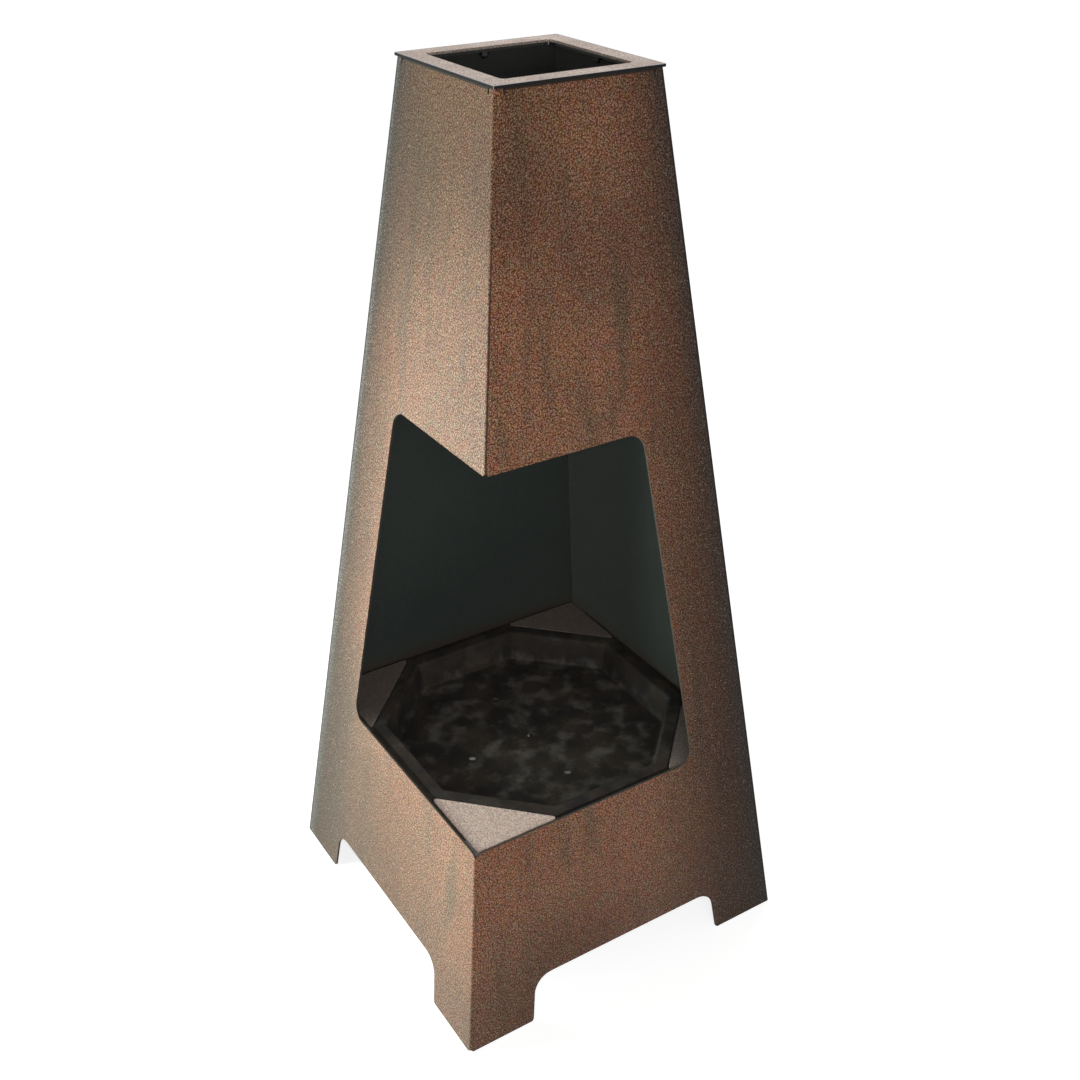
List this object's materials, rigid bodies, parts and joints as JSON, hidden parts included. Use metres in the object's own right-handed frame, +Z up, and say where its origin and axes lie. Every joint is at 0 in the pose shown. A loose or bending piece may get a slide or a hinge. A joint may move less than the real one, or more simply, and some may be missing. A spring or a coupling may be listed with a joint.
{
  "type": "chiminea",
  "caption": "Garden fireplace of folded rusted steel sheet: tapering square tower with a mouth across one corner, open flue, sheet feet and a lift-out fire pan.",
  "frame": {"origin": "on the floor, straight under the centre of the flue", "axes": "+Z up; the corner with the mouth points to -X and -Y, and the walls face -X, -Y, +X and +Y"},
  "size_m": [0.5, 0.5, 1.16],
  "materials": {
    "weathered_steel": "matt rust patina with fine grain, streaks and darker edges",
    "sooted_steel": "matt, blackened by soot",
    "zinc_steel": "zinc plated, dulled"
  },
  "bodies": {
    "tower": {"corner_plate_front": "weathered_steel", "corner_plate_left": "weathered_steel", "corner_plate_rear": "weathered_steel", "corner_plate_right": "weathered_steel", "front_shell": "weathered_steel", "ledge_front_left": "sooted_steel", "ledge_front_right": "sooted_steel", "ledge_nut_front_left_1": "zinc_steel", "ledge_nut_front_left_2": "zinc_steel", "ledge_nut_front_right_1": "zinc_steel", "ledge_nut_front_right_2": "zinc_steel", "ledge_nut_rear_left_1": "zinc_steel", "ledge_nut_rear_left_2": "zinc_steel", "ledge_nut_rear_right_1": "zinc_steel", "ledge_nut_rear_right_2": "zinc_steel", "ledge_rear_left": "sooted_steel", "ledge_rear_right": "sooted_steel", "ledge_stud_front_left_1": "zinc_steel", "ledge_stud_front_left_2": "zinc_steel", "ledge_stud_front_right_1": "zinc_steel", "ledge_stud_front_right_2": "zinc_steel", "ledge_stud_rear_left_1": "zinc_steel", "ledge_stud_rear_left_2": "zinc_steel", "ledge_stud_rear_right_1": "zinc_steel", "ledge_stud_rear_right_2": "zinc_steel", "rear_shell": "weathered_steel", "seam_nut_left_1": "zinc_steel", "seam_nut_left_2": "zinc_steel", "seam_nut_left_3": "zinc_steel", "seam_nut_left_4": "zinc_steel", "seam_nut_right_1": "zinc_steel", "seam_nut_right_2": "zinc_steel", "seam_nut_right_3": "zinc_steel", "seam_nut_right_4": "zinc_steel", "seam_stud_left_1": "zinc_steel", "seam_stud_left_2": "zinc_steel", "seam_stud_left_3": "zinc_steel", "seam_stud_left_4": "zinc_steel", "seam_stud_right_1": "zinc_steel", "seam_stud_right_2": "zinc_steel", "seam_stud_right_3": "zinc_steel", "seam_stud_right_4": "zinc_steel", "top_nut_front_left": "zinc_steel", "top_nut_front_right": "zinc_steel", "top_nut_rear_left": "zinc_steel", "top_nut_rear_right": "zinc_steel", "top_plate": "weathered_steel", "top_stud_front_left": "zinc_steel", "top_stud_front_right": "zinc_steel", "top_stud_rear_left": "zinc_steel", "top_stud_rear_right": "zinc_steel"},
    "fire_pan": {"fire_pan": "sooted_steel"}
  },
  "joints": [
    {"name": "fire_pan_lift", "type": "slide", "parent": "tower", "child": "fire_pan", "axis": [0, 0, 1], "range_m": [0, 0.06]}
  ]
}
